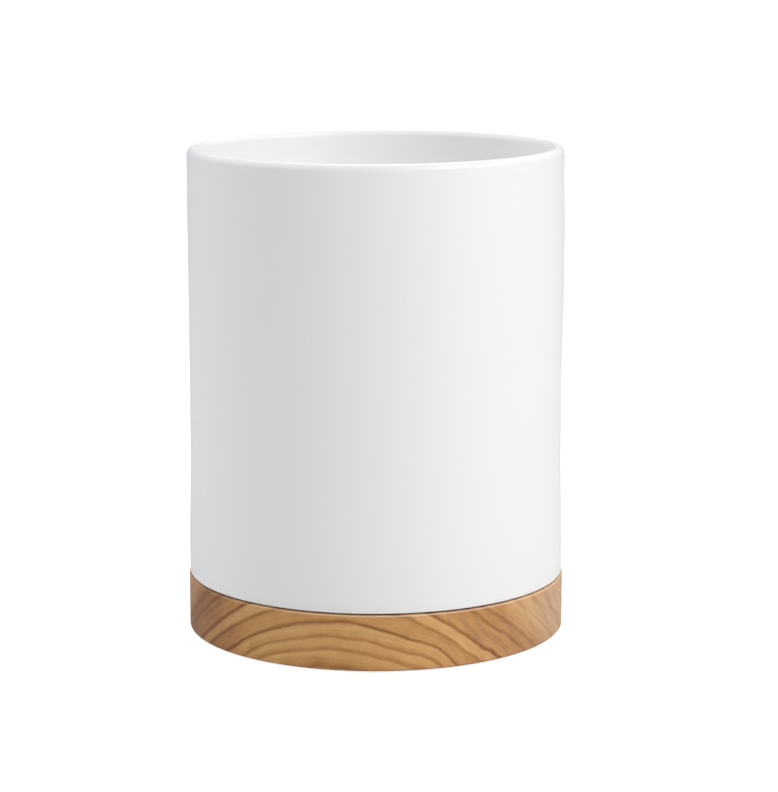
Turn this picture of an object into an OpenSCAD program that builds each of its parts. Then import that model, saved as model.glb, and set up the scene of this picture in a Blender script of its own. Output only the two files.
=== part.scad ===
// Pen holder cup: a slip-cast ceramic cylinder bonded into a turned olive wood base.
// Millimetres, +Z up. The origin is the centre of the footprint, on the desk.

/* [Wood base] */
// Diameter of the wood disc
base_d = 88; // [80:0.5:110]
// Thickness of the wood disc
base_h = 12.75; // [10:0.25:20]
// Radius of the sanded top and bottom edges
base_ease = 0.4; // [0.2:0.1:1]
// Depth of the turned socket that the cup's foot sits in
socket_depth = 2.6; // [2.4:0.1:4]

/* [Ceramic cup] */
// Height of the rim above the underside of the wood
rim_height = 112.6; // [80:0.1:150]
// How far the cup stands back from the side of the wood
cup_setback = 0.5; // [0.2:0.1:1.5]
// Thickness of the wall and the floor
wall = 3.1; // [2.6:0.1:4]
// Radius of the cup's lower outside edge
cup_edge = 0.3; // [0.2:0.1:1.2]
// Radius where the wall runs into the floor, inside
floor_fillet = 4; // [2:0.5:8]
// Shadow gap between the cup's lower edge and the top of the wood
reveal = 0.35; // [0.25:0.05:1]

/* [Foot ring and bond] */
// Width of the unglazed foot ring
foot_w = 5; // [4:0.5:8]
// How far the foot ring stands in from the face of the inside wall
foot_inset = 0.3; // [0.1:0.1:1]
// Radial clearance of the foot ring in the socket
foot_clearance = 0.4; // [0.2:0.1:1]
// Depth of the dish inside the foot ring
foot_dish = 1.2; // [0.6:0.1:1.6]
// Thickness of the cured adhesive under the foot ring
bond_t = 0.5; // [0.3:0.1:0.8]
// Margin of foot ring left bare on each side of the adhesive
bond_margin = 0.6; // [0.2:0.1:1]

/* [Foot pads] */
// Diameter of a pad
pad_d = 10; // [8:0.5:14]
// Thickness of a pad
pad_t = 1.6; // [1.4:0.1:2.4]
// How far a pad stands out of the wood
pad_proud = 0.4; // [0.3:0.1:1]
// Radius of a pad's lower edge
pad_edge = 0.4; // [0.2:0.1:0.5]
// Radial clearance of a pad in its recess
pad_clearance = 0.3; // [0.1:0.1:0.6]
// Diameter of the circle that the pads stand on
pad_circle_d = 64; // [50:1:64]

/* [Hidden] */
$fn = 96;

ceramic_white = [0.93, 0.93, 0.92];
olive_wood = [0.74, 0.56, 0.36];
cured_silicone = [0.86, 0.87, 0.86];
pad_grey = [0.80, 0.81, 0.80];

// The pads, each in a node of its own, and where the first one stands
pad_count = 4;
pad_first_angle = 45;

// How far a cutting shape runs past the face that it opens
cut_past = 1;

// Heights above the desk, from the pads up to the rim
base_z = pad_proud;
base_top = base_z + base_h;
socket_z = base_top - socket_depth;
foot_z = socket_z + bond_t;
dish_z = foot_z + foot_dish;
shell_z = base_top + reveal;
floor_z = shell_z + wall;
rim_z = base_z + rim_height;

// Radii about the cup's axis
base_r = base_d / 2;
cup_r = base_r - cup_setback;
cavity_r = cup_r - wall;
lip_r = wall / 2;
foot_r = cavity_r - foot_inset;
foot_inner_r = foot_r - foot_w;
socket_r = foot_r + foot_clearance;
pad_r = pad_d / 2;

// Half section of the cup, with a full round lip and a stepped foot ring.
module cup_section() {
    // wall, from its lower edge radius up to the lip
    translate([cavity_r, shell_z + cup_edge])
        square([wall, rim_z - lip_r - shell_z - cup_edge]);
    translate([cavity_r + lip_r, rim_z - lip_r])
        circle(r = lip_r);
    translate([cup_r - cup_edge, shell_z + cup_edge])
        circle(r = cup_edge);
    // floor, dished underneath inside the foot ring
    translate([0, shell_z])
        square([cup_r - cup_edge, wall]);
    translate([0, dish_z])
        square([foot_r, shell_z - dish_z]);
    translate([foot_inner_r, foot_z])
        square([foot_w, shell_z - foot_z]);
    // fillet between the floor and the wall
    difference() {
        translate([cavity_r - floor_fillet, floor_z])
            square(floor_fillet);
        translate([cavity_r - floor_fillet, floor_z + floor_fillet])
            circle(r = floor_fillet);
    }
}

// Half section of the wood disc, with eased edges and the socket for the foot ring.
module base_section() {
    difference() {
        union() {
            translate([0, base_z])
                square([base_r - base_ease, base_h]);
            translate([0, base_z + base_ease])
                square([base_r, base_h - 2 * base_ease]);
            for (z = [base_z + base_ease, base_top - base_ease])
                translate([base_r - base_ease, z])
                    circle(r = base_ease);
        }
        translate([0, socket_z])
            square([socket_r, socket_depth + cut_past]);
    }
}

// Half section of a pad, standing on the desk, with a rounded lower edge.
module pad_section() {
    translate([0, pad_edge])
        square([pad_r, pad_t - pad_edge]);
    square([pad_r - pad_edge, pad_edge]);
    translate([pad_r - pad_edge, pad_edge])
        circle(r = pad_edge);
}

// Places its children where pad i of pad_count stands.
module at_pad(i) {
    rotate([0, 0, pad_first_angle + i * 360 / pad_count])
        translate([pad_circle_d / 2, 0, 0])
            children();
}

module ceramic_cup() {
    color(ceramic_white)
        rotate_extrude()
            cup_section();
}

// The turned disc, with a recess underneath for each pad.
module wood_base() {
    color(olive_wood)
        difference() {
            rotate_extrude()
                base_section();
            for (i = [0 : pad_count - 1])
                at_pad(i)
                    cylinder(r = pad_r + pad_clearance, h = pad_t);
        }
}

// Cured silicone between the foot ring and the floor of the socket.
module adhesive_ring() {
    color(cured_silicone)
        translate([0, 0, socket_z])
            difference() {
                cylinder(r = foot_r - bond_margin, h = bond_t);
                translate([0, 0, -cut_past])
                    cylinder(r = foot_inner_r + bond_margin, h = bond_t + 2 * cut_past);
            }
}

module foot_pad(i) {
    color(pad_grey)
        at_pad(i)
            rotate_extrude()
                pad_section();
}

ceramic_cup();
wood_base();
adhesive_ring();
foot_pad(0);  // foot_pad_1
foot_pad(1);  // foot_pad_2
foot_pad(2);  // foot_pad_3
foot_pad(3);  // foot_pad_4
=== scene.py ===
"""Pen holder cup: the looks of the slip-cast ceramic cup, its olive wood base, the bond and the foot pads.

Metres, +Z up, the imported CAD's frame. The pieces' places and radii come from the CAD nodes' boxes. The small
sizes that a box doesn't show, such as the wall and the edge radii, are named below.
"""
import math

import bmesh
import bpy
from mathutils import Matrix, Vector, noise


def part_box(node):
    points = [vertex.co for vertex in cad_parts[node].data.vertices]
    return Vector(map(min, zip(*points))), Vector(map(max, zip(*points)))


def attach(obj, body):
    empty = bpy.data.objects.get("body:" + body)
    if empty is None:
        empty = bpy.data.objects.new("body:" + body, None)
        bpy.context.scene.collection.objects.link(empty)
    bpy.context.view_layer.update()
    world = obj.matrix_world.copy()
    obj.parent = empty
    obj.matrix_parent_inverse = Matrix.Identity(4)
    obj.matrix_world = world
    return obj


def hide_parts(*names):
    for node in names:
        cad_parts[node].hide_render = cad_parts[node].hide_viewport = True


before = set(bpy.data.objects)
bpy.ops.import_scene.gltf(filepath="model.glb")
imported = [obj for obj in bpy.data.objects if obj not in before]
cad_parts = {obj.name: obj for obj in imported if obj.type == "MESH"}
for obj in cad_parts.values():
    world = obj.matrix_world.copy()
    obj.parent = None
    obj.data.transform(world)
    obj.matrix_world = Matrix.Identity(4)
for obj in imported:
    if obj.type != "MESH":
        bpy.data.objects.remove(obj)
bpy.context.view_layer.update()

MM = 0.001

# Small sizes that the boxes don't show
WALL = 3.1 * MM
CUP_EDGE = 0.3 * MM
FLOOR_FILLET = 4.0 * MM
REVEAL = 0.35 * MM
FOOT_INSET = 0.3 * MM
FOOT_WIDTH = 5.0 * MM
FOOT_DISH = 1.2 * MM
FOOT_ROUND = 0.5 * MM
FOOT_CLEARANCE = 0.4 * MM
BASE_EASE = 0.4 * MM
PAD_CLEARANCE = 0.3 * MM
PAD_EDGE = 0.4 * MM
PAD_TOP_EDGE = 0.2 * MM
PAD_DIMPLE = 0.25 * MM
PAD_DIMPLE_R = 1.6 * MM
BOND_BULGE = 0.12 * MM
BOND_MARGIN = 0.6 * MM
BOND_WANDER = 0.24 * MM
BOND_WANDER_SCALE = 4
RECESS_EASE = 0.3 * MM

# How the cup left its mould and kiln. It spreads a little at its foot and draws in a little at half height.
# Near the top it is a little full towards +X, and its rim stands a little higher there. The heights of the
# flare are above the cup's lower edge, and the others above the desk.
FLARE = 0.3 * MM
FLARE_LOW = 6 * MM
FLARE_HIGH = 30 * MM
WAIST = 0.08 * MM
WAIST_END = 60 * MM
FULLNESS = 0.3 * MM
FULL_LOW = 80 * MM
FULL_HIGH = 92 * MM
FULL_END = 108 * MM
WOBBLE = 0.05 * MM
WOBBLE_SCALE = 1.3
RIM_LEAN = 0.15 * MM

# How finely the turned pieces are meshed: sides round the axis, and steps along each kind of curve
TURNS = 256
SMALL_TURNS = 96
WALL_STEP = 1.6 * MM
FLOOR_STEP = 4.8 * MM
LIP_STEPS = 24
ROUND_STEPS = 12
EASE_STEPS = 8
EDGE_STEPS = 6
PAD_TOP_STEPS = 4
SHARP_ANGLE = math.radians(40)

# Points nearer to each other than this are one point
COINCIDENT = 1e-7


# ---------------------------------------------------------------- geometry

def arc(centre_r, centre_z, radius, start, end, steps):
    """Points of an arc in a half section; angles in degrees, 0 pointing away from the axis."""
    points = []
    for i in range(steps + 1):
        a = math.radians(start + (end - start) * i / steps)
        points.append((centre_r + radius * math.cos(a), centre_z + radius * math.sin(a)))
    return points


def run(start, end, step):
    """Points along a straight stretch of a half section, both ends included, about one step apart."""
    length = math.dist(start, end)
    count = max(1, round(length / step))
    return [tuple(s + (e - s) * i / count for s, e in zip(start, end)) for i in range(count + 1)]


def without_repeats(points):
    """The points with neighbours that coincide merged into one."""
    kept = [points[0]]
    for point in points[1:]:
        if math.dist(point, kept[-1]) > COINCIDENT:
            kept.append(point)
    return kept


def lathe(name, section, closed=False, turns=TURNS, centre=(0, 0), form=None):
    """Turns a half section of (radius, z) points about a vertical axis into a closed mesh object.

    An open section starts and ends on the axis; a closed one is a ring. form moves every point but those on
    the axis: it takes and gives (radius, angle, z)."""
    section = without_repeats(section)
    bm = bmesh.new()
    rings = []
    for r, z in section:
        if r < COINCIDENT:
            rings.append([bm.verts.new((centre[0], centre[1], z))])
            continue
        ring = []
        for i in range(turns):
            a = 2 * math.pi * i / turns
            radius, angle, height = form(r, a, z) if form else (r, a, z)
            x = centre[0] + radius * math.cos(angle)
            y = centre[1] + radius * math.sin(angle)
            ring.append(bm.verts.new((x, y, height)))
        rings.append(ring)
    pairs = list(zip(rings, rings[1:]))
    if closed:
        pairs.append((rings[-1], rings[0]))
    for lower, upper in pairs:
        for i in range(turns):
            j = (i + 1) % turns
            if len(lower) == 1:
                bm.faces.new((lower[0], upper[j], upper[i]))
            elif len(upper) == 1:
                bm.faces.new((lower[i], lower[j], upper[0]))
            else:
                bm.faces.new((lower[i], lower[j], upper[j], upper[i]))
    bmesh.ops.recalc_face_normals(bm, faces=bm.faces)
    mesh = bpy.data.meshes.new(name)
    bm.to_mesh(mesh)
    bm.free()
    mesh.shade_smooth()
    mesh.set_sharp_from_angle(angle=SHARP_ANGLE)
    piece = bpy.data.objects.new(name, mesh)
    bpy.context.scene.collection.objects.link(piece)
    return piece


def stands_for(piece, node, material):
    """Puts a finished piece in the place of its CAD node, on the one body of this part."""
    piece.data.materials.append(material)
    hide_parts(node)
    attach(piece, "root")
    return piece


# ---------------------------------------------------------------- sizes from the frame

cup_low, cup_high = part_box("ceramic_cup")
base_low, base_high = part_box("wood_base")
bond_low, bond_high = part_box("adhesive_ring")

cup_r = (cup_high.x - cup_low.x) / 2
rim_z = cup_high.z
foot_z = cup_low.z
base_r = (base_high.x - base_low.x) / 2
base_z = base_low.z
base_top = base_high.z
socket_z = bond_low.z
shell_z = base_top + REVEAL
floor_z = shell_z + WALL
cavity_r = cup_r - WALL
foot_r = cavity_r - FOOT_INSET
foot_inner_r = foot_r - FOOT_WIDTH
dish_z = foot_z + FOOT_DISH
socket_r = foot_r + FOOT_CLEARANCE
pad_nodes = sorted(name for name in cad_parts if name.startswith("foot_pad"))


# ---------------------------------------------------------------- the cup's own shape

def smooth(value, start, end):
    """0 at start, 1 at end, with an easy run between them."""
    t = min(1, max(0, (value - start) / (end - start)))
    return t * t * (3 - 2 * t)


def fired(radius, angle, z):
    """Where a point of the ideal cup lies on the fired one. The foot ring keeps its shape."""
    if radius <= foot_r and z <= shell_z:
        return radius, angle, z
    above_flare = smooth(z, shell_z + FLARE_LOW, shell_z + FLARE_HIGH)
    spread = FLARE * (1 - above_flare)
    spread -= WAIST * above_flare * (1 - smooth(z, WAIST_END, rim_z))
    full_here = smooth(z, WAIST_END, FULL_LOW) * (1 - smooth(z, FULL_HIGH, FULL_END))
    spread += FULLNESS * max(0, math.cos(angle)) * full_here
    around = Vector((math.cos(angle), math.sin(angle), z / rim_z))
    spread += WOBBLE * noise.noise(around * WOBBLE_SCALE)
    near_wall = smooth(radius, cavity_r - FLOOR_FILLET, cavity_r)
    lean = RIM_LEAN * math.cos(angle) * smooth(z, floor_z, rim_z)
    return radius + spread * near_wall, angle, z + lean * near_wall


# ---------------------------------------------------------------- materials

class Nodes:
    """Short calls for building a material's node tree."""

    def __init__(self, name):
        self.material = bpy.data.materials.new(name)
        self.material.use_nodes = True
        self.tree = self.material.node_tree
        self.shader = self.tree.nodes["Principled BSDF"]

    def node(self, kind, inputs=None, **settings):
        made = self.tree.nodes.new(kind)
        for key, value in settings.items():
            setattr(made, key, value)
        for key, value in (inputs or {}).items():
            self.put(value, made.inputs[key])
        return made

    def put(self, value, socket):
        if isinstance(value, bpy.types.NodeSocket):
            self.tree.links.new(value, socket)
        else:
            socket.default_value = value

    def math(self, operation, *values, clamp=False):
        made = self.node("ShaderNodeMath", operation=operation, use_clamp=clamp)
        for i, value in enumerate(values):
            self.put(value, made.inputs[i])
        return made.outputs[0]

    def vector(self, operation, *values):
        made = self.node("ShaderNodeVectorMath", operation=operation)
        for i, value in enumerate(values):
            self.put(value, made.inputs[i])
        return made

    def noise(self, position, scale, detail=2.0, roughness=0.5):
        inputs = {"Vector": position, "Scale": scale, "Detail": detail, "Roughness": roughness}
        return self.node("ShaderNodeTexNoise", inputs).outputs["Fac"]

    def map(self, value, low, high, to_low, to_high, smooth=False):
        kind = "SMOOTHSTEP" if smooth else "LINEAR"
        inputs = {"Value": value, "From Min": low, "From Max": high, "To Min": to_low, "To Max": to_high}
        return self.node("ShaderNodeMapRange", inputs, interpolation_type=kind).outputs["Result"]

    def mix(self, factor, a, b):
        made = self.node("ShaderNodeMix", data_type="RGBA")
        self.put(factor, made.inputs["Factor"])
        self.put(a, made.inputs[6])
        self.put(b, made.inputs[7])
        return made.outputs[2]

    def bump(self, height, distance, strength=1.0, normal=None):
        inputs = {"Height": height, "Distance": distance, "Strength": strength}
        if normal is not None:
            inputs["Normal"] = normal
        return self.node("ShaderNodeBump", inputs).outputs["Normal"]

    def shade(self, **sockets):
        for key, value in sockets.items():
            self.put(value, self.shader.inputs[key.replace("_", " ")])


def rgb(red, green, blue):
    return (red, green, blue, 1.0)


def millimetres(m):
    """Object coordinates, in millimetres."""
    scaled = m.vector("SCALE", m.node("ShaderNodeTexCoord").outputs["Object"])
    scaled.inputs["Scale"].default_value = 1 / MM
    return scaled.outputs["Vector"]


# Most values of a noise texture lie in this range
NOISE_RANGE = (0.3, 0.7)

GLAZE_WHITE = rgb(0.93, 0.93, 0.93)
BISQUE_WHITE = rgb(0.82, 0.78, 0.72)

# Roughness of the glaze, from where it lies thin to where it pooled, and how much rougher the bare foot is
GLAZE_ROUGHNESS = (0.40, 0.44)
BARE_ROUGHER = 0.45

# Waves and grain of the glaze: how many to a millimetre, and how deep
WAVE_SCALE = 0.05
WAVE_DEPTH = 0.12 * MM
GRAIN_SCALE = 1.2
GRAIN_DEPTH = 0.004 * MM
GLAZE_BUMP = 0.5


def ceramic_material():
    """White satin glaze that pooled a little unevenly, over a bare, chalky foot ring."""
    m = Nodes("satin_glaze")
    at = millimetres(m)
    pooled = m.noise(at, WAVE_SCALE)
    grain = m.noise(at, GRAIN_SCALE)
    height = m.node("ShaderNodeSeparateXYZ", {"Vector": at}).outputs[2]
    bare = m.map(height, (foot_z + FOOT_ROUND) / MM, (foot_z + FOOT_DISH) / MM, 1, 0)
    glazed_roughness = m.map(pooled, *NOISE_RANGE, *GLAZE_ROUGHNESS)
    m.shade(Base_Color=m.mix(bare, GLAZE_WHITE, BISQUE_WHITE))
    m.shade(Roughness=m.math("ADD", glazed_roughness, m.math("MULTIPLY", bare, BARE_ROUGHER)))
    waves = m.bump(pooled, WAVE_DEPTH, GLAZE_BUMP)
    m.shade(Normal=m.bump(grain, GRAIN_DEPTH, GLAZE_BUMP, waves))
    return m.material


# The branch's pith passes well under the disc and dips towards the back: a point on it, in millimetres, and
# its direction. The rings are cylinders round it, so they show as arches on the front of the disc.
PITH_POINT = (-11.6, -44.0, -58.4)
PITH_ALONG = (0.145, 1.0, -0.487)

# Kinds of growth ring: how light the wood is, from 0 to 1, just inside the dark edge, on it and outside it
BOLD = (0.90, 0.05, 0.65)
SOFT = (0.90, 0.30, 0.75)
RISING = (0.60, 0.25, 0.90)
BROWN = (0.50, 0.15, 0.50)
FAINT = (0.85, 0.60, 0.85)

# The growth rings: how far each dark edge lies from the pith, in millimetres, and its kind. The sequence
# starts again at RING_END. The wood darkens over RING_RISE before an edge and lightens over RING_FADE after.
RINGS = (
    (54.5, BROWN), (58.0, SOFT), (60.5, SOFT), (63.5, BOLD), (67.5, RISING),
    (70.5, BOLD), (75.5, BROWN), (78.0, BROWN), (83.5, FAINT), (87.0, FAINT),
)
RING_START = 53.2
RING_END = 98.0
RING_RISE = 0.6
RING_FADE = 0.75

# Where the rings bulge round old buds: x and z, reach and push, in millimetres. At its middle the wood looks
# as if it lay that push farther from the pith, and the effect fades out at its reach.
BULGES = ((12.5, 3.5, 7, -1.4), (-24, 2, 9, -0.5), (34, 4, 9, -0.5))

# How the rings wander, in millimetres: a slow sway, and a quicker ripple, which grows towards +X
SWAY = 0.6
SWAY_SCALE = 0.09
RIPPLE = 0.5
RIPPLE_SCALE = 0.3
CURL_ACROSS = (8, 30)
CURL_STRENGTH = (0.5, 1.6)

# Fibres run along the pith, so their noise is drawn out that way
FIBRE_SHORTENING = 0.2

# How far the fine lines, the patches and the flecks change the tone, and their scales
WOOD_NOISE_RANGE = (0.2, 0.8)
FINE_LINES = 0.20
FINE_LINES_RADIAL = 1.6
FINE_LINES_ACROSS = 0.10
PATCHES = 0.10
PATCH_SCALE = 0.35
FLECKS = 0.07
FLECK_SCALE = 3.0

# How much darker the wood grows towards the heart, on the -X side, and where. The darkening is partly the
# heartwood's own colour and partly painted shade on the side away from the key light.
HEARTWOOD_AND_SHADE_TONE = -0.40
HEARTWOOD_AND_SHADE_ACROSS = (-40, -22)

# Colours of the oiled wood, on the end grain and on the side grain
END_DARK = rgb(0.262, 0.096, 0.025)
END_MID = rgb(0.535, 0.254, 0.080)
END_LIGHT = rgb(0.745, 0.432, 0.172)
SIDE_DARK = rgb(0.300, 0.150, 0.080)
SIDE_MID = rgb(0.515, 0.295, 0.160)
SIDE_LIGHT = rgb(0.695, 0.450, 0.275)

# The tone that has the middle colour, and how nearly the surface's normal lies along the pith where side
# grain turns to end grain
MID_TONE = 0.45
END_GRAIN_FACING = (0.15, 0.75)

# The eased upper edge is paler, partly as sanding leaves it and partly as a painted highlight, stronger
# towards +X where the key light falls. A painted shade darkens the lower edge. The pairs in the second group
# are the upward part of the surface's normal, where each effect starts and ends.
EDGE_PALE_AND_HIGHLIGHT = rgb(0.84, 0.64, 0.46)
EDGE_PALENESS_AND_HIGHLIGHT = (0.165, 0.55)
EDGE_PALENESS_AND_HIGHLIGHT_ACROSS = (-35, 5)
LOWER_EDGE_PAINTED_SHADE = 0.6

UPPER_EDGE = (0.1, 0.5)
TOP_FACE = (0.9, 0.99)
LOWER_EDGE = (-0.6, -0.1)
UNDERSIDE = (-0.99, -0.9)

# Short purple-brown streaks in the curly grain on both flanks. They stand steeper than the rings and come in
# patches, between which STREAK_LEAST of their strength is left.
STREAK_BROWN = rgb(0.310, 0.150, 0.095)
STREAK_LEAN = 0.6
STREAK_STRENGTH = 0.7
STREAK_THRESHOLDS = (0.44, 0.78)
STREAKS_RADIAL = 0.42
STREAKS_UPWARD = 0.07
SWIRL = 1.6
SWIRL_SCALE = 0.22
CURLY_RIGHT = (12, 24)
CURLY_LEFT = (-38, -30)
CURLY_LEFT_STRENGTH = 0.8
STREAK_PATCHES = (0.35, 0.6)
STREAK_LEAST = 0.35

# Oiled finish: roughness from dark to light wood, shine, the pores' depth and strength, and how much light
# wood stands above dark wood
WOOD_ROUGHNESS = (0.62, 0.5)
WOOD_SPECULAR = 0.42
PORE_DEPTH = 0.02 * MM
PORE_BUMP = 0.6
RING_RELIEF = 0.5


def pith_distance(m, at):
    """Distance of a point from the pith, and the point with its run along the pith shortened, for fibres."""
    along = Vector(PITH_ALONG).normalized()
    from_point = m.vector("SUBTRACT", at, PITH_POINT).outputs["Vector"]
    run_along = m.vector("DOT_PRODUCT", from_point, along).outputs["Value"]
    offset = m.vector("SCALE", tuple(along))
    m.put(run_along, offset.inputs["Scale"])
    outwards = m.vector("SUBTRACT", from_point, offset.outputs["Vector"]).outputs["Vector"]
    shorter = m.vector("SCALE", tuple(along))
    m.put(m.math("MULTIPLY", run_along, FIBRE_SHORTENING), shorter.inputs["Scale"])
    fibre_at = m.vector("ADD", outwards, shorter.outputs["Vector"]).outputs["Vector"]
    return m.vector("LENGTH", outwards).outputs["Value"], fibre_at


def ramp(m, value, stops):
    """A colour ramp node's output; stops are (place from 0 to 1, colour)."""
    made = m.node("ShaderNodeValToRGB", {"Fac": value})
    elements = made.color_ramp.elements
    while len(elements) > 1:
        elements.remove(elements[-1])
    elements[0].position = stops[0][0]
    elements[0].color = stops[0][1]
    for place, colour in stops[1:]:
        elements.new(place).color = colour
    return made.outputs["Color"]


def wandering_distance(m, at, across, distance, fibre_at):
    """The distance from the pith with the rings' bulges, sway and ripple in it."""
    front_view = m.vector("MULTIPLY", at, (1, 0, 1)).outputs["Vector"]
    for x, z, reach, push in BULGES:
        away = m.vector("DISTANCE", front_view, (x, 0, z)).outputs["Value"]
        distance = m.math("ADD", distance, m.map(away, 0, reach, push, 0, smooth=True))
    sway = m.noise(fibre_at, SWAY_SCALE, detail=1.0)
    distance = m.math("ADD", distance, m.map(sway, 0, 1, -SWAY, SWAY))
    curl = m.map(across, *CURL_ACROSS, *CURL_STRENGTH, smooth=True)
    ripple = m.map(m.noise(fibre_at, RIPPLE_SCALE, roughness=0.55), 0, 1, -RIPPLE, RIPPLE)
    return m.math("ADD", distance, m.math("MULTIPLY", ripple, curl))


def ring_tone(m, distance):
    """How light the rings make the wood at a distance from the pith, from 0 to 1."""
    span = RING_END - RING_START
    year = m.math("FRACT", m.math("DIVIDE", m.math("SUBTRACT", distance, RING_START), span))
    stops = []
    for edge, (inside, dark, outside) in RINGS:
        for place, tone in ((edge - RING_RISE, inside), (edge, dark), (edge + RING_FADE, outside)):
            stops.append(((place - RING_START) / span, rgb(tone, tone, tone)))
    return ramp(m, year, stops)


def varied(m, tone, pattern, amount):
    """The tone, darker or lighter by up to amount as a noise pattern says."""
    return m.math("ADD", tone, m.map(pattern, *WOOD_NOISE_RANGE, -amount, amount))


def fine_lines(m, distance, across):
    """Noise in fine lines beside the rings."""
    strands = m.node("ShaderNodeCombineXYZ")
    m.put(m.math("MULTIPLY", distance, FINE_LINES_RADIAL), strands.inputs[0])
    m.put(m.math("MULTIPLY", across, FINE_LINES_ACROSS), strands.inputs[1])
    return m.noise(strands.outputs[0], 1.0, detail=3.0, roughness=0.6)


def grain_colour(m, tone, normal):
    """The colour of a tone, warmer on end grain, which drinks more oil than side grain."""
    along = tuple(Vector(PITH_ALONG).normalized())
    facing = m.math("ABSOLUTE", m.vector("DOT_PRODUCT", normal, along).outputs["Value"])
    end_grain = m.map(facing, *END_GRAIN_FACING, 0, 1, smooth=True)
    end_colour = ramp(m, tone, [(0.0, END_DARK), (MID_TONE, END_MID), (1.0, END_LIGHT)])
    side_colour = ramp(m, tone, [(0.0, SIDE_DARK), (MID_TONE, SIDE_MID), (1.0, SIDE_LIGHT)])
    return m.mix(end_grain, side_colour, end_colour)


def streak_strength(m, across, height, distance, fibre_at, patches):
    """How strongly the flanks' steep streaks show, from 0 to 1."""
    curly = m.map(across, *CURLY_RIGHT, 0, 1, smooth=True)
    curly = m.math("MAXIMUM", curly, m.map(across, *CURLY_LEFT, CURLY_LEFT_STRENGTH, 0, smooth=True))
    swirl = m.map(m.noise(fibre_at, SWIRL_SCALE), 0, 1, -SWIRL, SWIRL)
    lean = m.math("ADD", distance, m.math("MULTIPLY", m.math("ABSOLUTE", across), STREAK_LEAN))
    streak_at = m.node("ShaderNodeCombineXYZ")
    m.put(m.math("MULTIPLY", m.math("ADD", lean, swirl), STREAKS_RADIAL), streak_at.inputs[0])
    m.put(m.math("MULTIPLY", height, STREAKS_UPWARD), streak_at.inputs[1])
    streaks = m.noise(streak_at.outputs[0], 1.0, detail=1.5)
    streaks = m.map(streaks, *STREAK_THRESHOLDS, 0, STREAK_STRENGTH, smooth=True)
    streaks = m.math("MULTIPLY", streaks, m.map(patches, *STREAK_PATCHES, STREAK_LEAST, 1, smooth=True))
    return m.math("MULTIPLY", streaks, curly)


def edge_wear_and_painted_light(m, colour, across, normal):
    """The colour with the upper edge paler, from sanding and a painted highlight, and painted shade on the
    lower edge.
    """
    upright = m.node("ShaderNodeSeparateXYZ", {"Vector": normal}).outputs[2]
    upper = m.math("MULTIPLY", m.map(upright, *UPPER_EDGE, 0, 1, smooth=True),
                   m.map(upright, *TOP_FACE, 1, 0, smooth=True))
    # The paleness grows towards +X, where the key light falls: partly sanding, partly a painted highlight.
    paleness_and_highlight = m.map(across, *EDGE_PALENESS_AND_HIGHLIGHT_ACROSS, *EDGE_PALENESS_AND_HIGHLIGHT)
    colour = m.mix(m.math("MULTIPLY", upper, paleness_and_highlight), colour, EDGE_PALE_AND_HIGHLIGHT)
    # Painted shade along the lower edge, in the end grain's darkest colour.
    lower = m.math("MULTIPLY", m.map(upright, *LOWER_EDGE, LOWER_EDGE_PAINTED_SHADE, 0, smooth=True),
                   m.map(upright, *UNDERSIDE, 0, 1, smooth=True))
    return m.mix(lower, colour, END_DARK)


def olive_wood_material():
    """Oiled olive wood: growth rings round the pith, fine lines, flecks, curly streaks and sanded edges, with
    painted light and shade on the edges and the -X side.
    """
    m = Nodes("oiled_olive_wood")
    at = millimetres(m)
    parts = m.node("ShaderNodeSeparateXYZ", {"Vector": at}).outputs
    across = parts[0]
    height = parts[2]
    normal = m.node("ShaderNodeNewGeometry").outputs["Normal"]

    distance, fibre_at = pith_distance(m, at)
    distance = wandering_distance(m, at, across, distance, fibre_at)
    patches = m.noise(fibre_at, PATCH_SCALE)
    fleck = m.noise(fibre_at, FLECK_SCALE, detail=3.0, roughness=0.6)
    tone = ring_tone(m, distance)
    tone = varied(m, tone, fine_lines(m, distance, across), FINE_LINES)
    tone = varied(m, tone, patches, PATCHES)
    tone = varied(m, tone, fleck, FLECKS)
    # Darker towards -X: partly the heartwood's own colour, partly painted shade away from the key light.
    heartwood_and_shade = m.map(across, *HEARTWOOD_AND_SHADE_ACROSS, HEARTWOOD_AND_SHADE_TONE, 0, smooth=True)
    tone = m.math("ADD", tone, heartwood_and_shade, clamp=True)

    streaks = streak_strength(m, across, height, distance, fibre_at, patches)
    colour = m.mix(streaks, grain_colour(m, tone, normal), STREAK_BROWN)
    m.shade(Base_Color=edge_wear_and_painted_light(m, colour, across, normal))
    m.shade(Roughness=m.map(tone, 0, 1, *WOOD_ROUGHNESS), Specular_IOR_Level=WOOD_SPECULAR)
    relief = m.math("ADD", fleck, m.math("MULTIPLY", tone, RING_RELIEF))
    m.shade(Normal=m.bump(relief, PORE_DEPTH, PORE_BUMP))
    return m.material


# Clear silicone: how cloudy it looks where it is dented, how its roughness varies, and how it scatters light
CLOUD_WHITE = rgb(0.9, 0.9, 0.9)
CLOUDINESS = 0.3
ROUGHNESS_SPREAD = 0.05
SCATTER = 0.25
DENT_BUMP = 0.6
BEAD_COLOUR = rgb(0.70, 0.71, 0.70)
PAD_COLOUR = rgb(0.60, 0.61, 0.60)


def silicone_material(name, colour, roughness, dent_size, dent_depth):
    """Cured silicone: milky, dented a little by its mould or by the finger that pressed it."""
    m = Nodes(name)
    dents = m.noise(millimetres(m), 1 / dent_size, detail=3.0)
    m.shade(Base_Color=m.mix(m.map(dents, *NOISE_RANGE, 0, CLOUDINESS), colour, CLOUD_WHITE))
    m.shade(Roughness=m.map(dents, *NOISE_RANGE, roughness - ROUGHNESS_SPREAD, roughness + ROUGHNESS_SPREAD))
    m.shade(Subsurface_Weight=SCATTER, Subsurface_Scale=MM)
    m.shade(Normal=m.bump(dents, dent_depth, DENT_BUMP))
    return m.material


# ---------------------------------------------------------------- pieces

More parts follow.
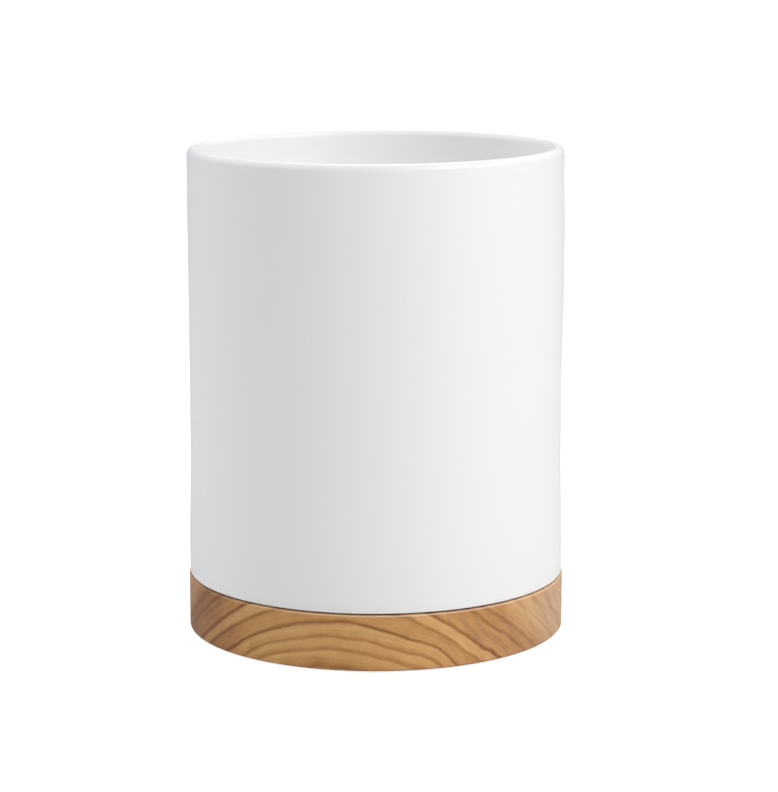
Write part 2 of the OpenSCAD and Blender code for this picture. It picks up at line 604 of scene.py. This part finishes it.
def make_cup():
    """The glazed cup: foot ring, wall, full round lip, and a fillet round its floor."""
    lip_r = WALL / 2
    section = [(0, dish_z), (foot_inner_r - FOOT_ROUND, dish_z)]
    section += [(foot_inner_r, dish_z), (foot_inner_r, foot_z + FOOT_ROUND)]
    section += arc(foot_inner_r + FOOT_ROUND, foot_z + FOOT_ROUND, FOOT_ROUND, 180, 270, EDGE_STEPS)
    section += arc(foot_r - FOOT_ROUND, foot_z + FOOT_ROUND, FOOT_ROUND, -90, 0, EDGE_STEPS)
    section += [(foot_r, shell_z), (cup_r - CUP_EDGE, shell_z)]
    section += arc(cup_r - CUP_EDGE, shell_z + CUP_EDGE, CUP_EDGE, -90, 0, EDGE_STEPS)
    section += run((cup_r, shell_z + CUP_EDGE), (cup_r, rim_z - lip_r), WALL_STEP)
    section += arc(cup_r - lip_r, rim_z - lip_r, lip_r, 0, 180, LIP_STEPS)
    section += run((cavity_r, rim_z - lip_r), (cavity_r, floor_z + FLOOR_FILLET), WALL_STEP)
    section += arc(cavity_r - FLOOR_FILLET, floor_z + FLOOR_FILLET, FLOOR_FILLET, 0, -90, ROUND_STEPS)
    section += run((cavity_r - FLOOR_FILLET, floor_z), (0, floor_z), FLOOR_STEP)
    cup = lathe("glazed_cup", section, form=fired)
    return stands_for(cup, "ceramic_cup", ceramic_material())


def cut(piece, cutters):
    """Takes the cutters out of a piece and throws them away."""
    for cutter in cutters:
        carve = piece.modifiers.new("carve", "BOOLEAN")
        carve.operation = "DIFFERENCE"
        carve.solver = "EXACT"
        carve.object = cutter
    bpy.context.view_layer.update()
    carved = bpy.data.meshes.new_from_object(piece.evaluated_get(bpy.context.evaluated_depsgraph_get()))
    piece.modifiers.clear()
    whole = piece.data
    piece.data = carved
    bpy.data.meshes.remove(whole)
    carved.shade_smooth()
    carved.set_sharp_from_angle(angle=SHARP_ANGLE)
    for cutter in cutters:
        bpy.data.meshes.remove(cutter.data)


def recess_cutter(node):
    """A round cutter for a pad's recess in the underside, with a slightly eased mouth."""
    low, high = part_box(node)
    middle = (low + high) / 2
    radius = (high.x - low.x) / 2 + PAD_CLEARANCE
    section = [(0, base_z - MM), (radius + RECESS_EASE, base_z - MM), (radius + RECESS_EASE, base_z)]
    section += arc(radius + RECESS_EASE, base_z + RECESS_EASE, RECESS_EASE, 270, 180, EDGE_STEPS)
    section += [(radius, high.z), (0, high.z)]
    return lathe("cutter", section, turns=SMALL_TURNS, centre=(middle.x, middle.y))


def make_base():
    """The turned wood disc: eased edges, a socket on top and a recess underneath for each pad."""
    section = [(0, base_z), (base_r - BASE_EASE, base_z)]
    section += arc(base_r - BASE_EASE, base_z + BASE_EASE, BASE_EASE, -90, 0, EASE_STEPS)
    section += run((base_r, base_z + BASE_EASE), (base_r, base_top - BASE_EASE), WALL_STEP)
    section += arc(base_r - BASE_EASE, base_top - BASE_EASE, BASE_EASE, 0, 90, EASE_STEPS)
    section += [(socket_r, base_top), (socket_r, socket_z), (0, socket_z)]
    base = lathe("turned_base", section)
    cut(base, [recess_cutter(node) for node in pad_nodes])
    return stands_for(base, "wood_base", olive_wood_material())


def hand_laid(radius, angle, z):
    """The bead's inner and outer edges wander, as the bead was laid and pressed by hand."""
    around = Vector((math.cos(angle), math.sin(angle), 0))
    outwards = 1 if radius > (foot_r + foot_inner_r) / 2 else -1
    return radius + outwards * BOND_WANDER * noise.noise(around * BOND_WANDER_SCALE), angle, z


def make_bond():
    """The bead of silicone between the foot ring and the floor of the socket."""
    inner_r = foot_inner_r + BOND_MARGIN
    outer_r = bond_high.x
    round_r = (bond_high.z - bond_low.z) / 2
    middle_z = (bond_low.z + bond_high.z) / 2
    section = arc(outer_r - BOND_BULGE - round_r, middle_z, round_r, -90, 90, ROUND_STEPS)
    section += arc(inner_r + BOND_BULGE + round_r, middle_z, round_r, 90, 270, ROUND_STEPS)
    bond = lathe("silicone_bond", section, closed=True, form=hand_laid)
    clear = silicone_material("cured_silicone", BEAD_COLOUR, roughness=0.30, dent_size=2.5,
                              dent_depth=0.08 * MM)
    return stands_for(bond, "adhesive_ring", clear)


def make_pad(node, material):
    """A moulded pad: a flat face to stand on with a shallow dimple, and rounded edges."""
    low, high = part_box(node)
    middle = (low + high) / 2
    radius = (high.x - low.x) / 2
    section = [(0, low.z + PAD_DIMPLE)]
    section += arc(PAD_DIMPLE_R, low.z + PAD_DIMPLE, PAD_DIMPLE, 180, 270, EDGE_STEPS)[1:]
    section += arc(radius - PAD_EDGE, low.z + PAD_EDGE, PAD_EDGE, -90, 0, EASE_STEPS)
    section += arc(radius - PAD_TOP_EDGE, high.z - PAD_TOP_EDGE, PAD_TOP_EDGE, 0, 90, PAD_TOP_STEPS)
    section += [(0, high.z)]
    name = node.replace("foot_pad", "silicone_pad")
    pad = lathe(name, section, turns=SMALL_TURNS, centre=(middle.x, middle.y))
    return stands_for(pad, node, material)


make_cup()
make_base()
make_bond()
silicone = silicone_material("pad_silicone", PAD_COLOUR, roughness=0.50, dent_size=0.6,
                             dent_depth=0.02 * MM)
for pad_node in pad_nodes:
    make_pad(pad_node, silicone)


# ---------------------------------------------------------------- camera

# The tilt below the level and the turn are in radians, and the lens and the sensor in millimetres
CAMERA_DISTANCE = 629.7 * MM
CAMERA_HEIGHT = 173.6 * MM
CAMERA_DOWN = 0.1872
CAMERA_TURN = -0.0049
LENS = 124.49
SENSOR = 36.0
NEAREST_SEEN = 0.02
FARTHEST_SEEN = 50

camera_data = bpy.data.cameras.new("camera")
camera_data.sensor_fit = "AUTO"
camera_data.sensor_width = SENSOR
camera_data.lens = LENS
camera_data.clip_start = NEAREST_SEEN
camera_data.clip_end = FARTHEST_SEEN
camera = bpy.data.objects.new("camera", camera_data)
camera.location = (0, -CAMERA_DISTANCE, CAMERA_HEIGHT)
camera.rotation_euler = (math.pi / 2 - CAMERA_DOWN, 0, CAMERA_TURN)
bpy.context.scene.collection.objects.link(camera)
bpy.context.scene.camera = camera


# ---------------------------------------------------------------- stage and light

FLOOR_RADIUS = 7.0
FLOOR_Z = -0.1 * MM
FLOOR_COLOUR = (0.90, 0.90, 0.90)
FLOOR_GLOW = 0.8
TABLE_RADIUS = 0.6
TABLE_Z = -0.2 * MM
TABLE_COLOUR = (0.66, 0.66, 0.66)
DISC_SIDES = 64
STAGE_ROUGHNESS = 0.9

# The height that the lights look at
LIGHTS_AIM = 0.06

# The sky of the studio: what the pale table sends up from below, and a ring of diffusers above. The ring's
# heights are sines of the elevation.
GLOW_FROM_BELOW = (0.400, 0.407, 0.455)
DIFFUSER_GLOW = (1.18, 1.20, 1.18)
DIFFUSERS_LOW = 0.3
DIFFUSERS_HIGH = 0.7


def make_disc(name, radius, z, material):
    """A flat disc of the stage, which isn't part of the object."""
    mesh = bpy.data.meshes.new(name)
    angles = [2 * math.pi * i / DISC_SIDES for i in range(DISC_SIDES)]
    corners = [(radius * math.cos(a), radius * math.sin(a), z) for a in angles]
    mesh.from_pydata(corners, [], [tuple(range(DISC_SIDES))])
    mesh.materials.append(material)
    disc = bpy.data.objects.new(name, mesh)
    bpy.context.scene.collection.objects.link(disc)
    return disc


def make_floor():
    """A floor that only the camera sees, past white, and a hidden table that sends light onto the cup."""
    m = Nodes("pale_floor")
    m.shade(Base_Color=rgb(*FLOOR_COLOUR), Roughness=STAGE_ROUGHNESS)
    m.shade(Emission_Color=rgb(1, 1, 1), Emission_Strength=FLOOR_GLOW)
    floor = make_disc("floor", FLOOR_RADIUS, FLOOR_Z, m.material)
    floor.visible_diffuse = False
    floor.visible_glossy = False
    floor.visible_shadow = False

    m = Nodes("table_bounce")
    m.shade(Base_Color=rgb(*TABLE_COLOUR), Roughness=STAGE_ROUGHNESS)
    table = make_disc("table", TABLE_RADIUS, TABLE_Z, m.material)
    table.visible_camera = False


def aim(light, azimuth, elevation, distance):
    """Stands a light off from the cup and turns it to face it. Azimuth 0 is the camera's side, 90 is +X."""
    a = math.radians(azimuth)
    e = math.radians(elevation)
    towards = Vector((math.sin(a) * math.cos(e), -math.cos(a) * math.cos(e), math.sin(e)))
    light.rotation_mode = "QUATERNION"
    light.rotation_quaternion = towards.to_track_quat("Z", "Y")
    light.location = towards * distance + Vector((0, 0, LIGHTS_AIM))
    bpy.context.scene.collection.objects.link(light)


def make_softbox(name, azimuth, elevation, distance, size, watts, colour):
    """A round softbox, its distance and size in metres."""
    data = bpy.data.lights.new(name, "AREA")
    data.shape = "DISK"
    data.size = size
    data.energy = watts
    data.color = colour
    aim(bpy.data.objects.new(name, data), azimuth, elevation, distance)


def make_sun(name, azimuth, elevation, angle, energy, colour):
    """A soft far light, as wide as its angle in degrees."""
    data = bpy.data.lights.new(name, "SUN")
    data.angle = math.radians(angle)
    data.energy = energy
    data.color = colour
    aim(bpy.data.objects.new(name, data), azimuth, elevation, 1)


def make_world():
    """Light from below and from a ring of diffusers; the camera itself sees white."""
    world = bpy.data.worlds.new("studio")
    world.use_nodes = True
    tree = world.node_tree
    direction = tree.nodes.new("ShaderNodeSeparateXYZ")
    tree.links.new(tree.nodes.new("ShaderNodeTexCoord").outputs["Generated"], direction.inputs[0])
    height = tree.nodes.new("ShaderNodeMapRange")
    height.inputs["From Min"].default_value = -1
    tree.links.new(direction.outputs[2], height.inputs["Value"])
    glow = tree.nodes.new("ShaderNodeValToRGB")
    glow.color_ramp.interpolation = "CONSTANT"
    tree.links.new(height.outputs["Result"], glow.inputs["Fac"])
    elements = glow.color_ramp.elements
    elements.remove(elements[-1])
    elements[0].position = 0
    elements[0].color = rgb(*GLOW_FROM_BELOW)
    for sine, colour in ((0, (0, 0, 0)), (DIFFUSERS_LOW, DIFFUSER_GLOW), (DIFFUSERS_HIGH, (0, 0, 0))):
        elements.new((sine + 1) / 2).color = rgb(*colour)
    seen = tree.nodes.new("ShaderNodeMix")
    seen.data_type = "RGBA"
    tree.links.new(tree.nodes.new("ShaderNodeLightPath").outputs["Is Camera Ray"], seen.inputs["Factor"])
    tree.links.new(glow.outputs["Color"], seen.inputs[6])
    seen.inputs[7].default_value = rgb(1, 1, 1)
    tree.links.new(seen.outputs[2], tree.nodes["Background"].inputs["Color"])
    bpy.context.scene.world = world


make_floor()
make_world()
make_softbox("key_front_right", azimuth=55, elevation=36, distance=1.1, size=0.6, watts=6.35,
             colour=(1, 0.98, 0.98))
make_softbox("top_behind", azimuth=180, elevation=60, distance=1.2, size=0.6, watts=3.15,
             colour=(0.94, 0.98, 1))
make_softbox("high_left", azimuth=-95, elevation=38, distance=0.85, size=0.6, watts=1.0,
             colour=(0.96, 0.95, 1))
make_sun("left", azimuth=-90, elevation=12, angle=34, energy=0.25, colour=(0.96, 0.93, 1))
make_sun("left_behind", azimuth=-120, elevation=12, angle=34, energy=0.22, colour=(0.94, 0.95, 1))

scene = bpy.context.scene
scene.view_settings.view_transform = "Standard"
scene.view_settings.look = "None"
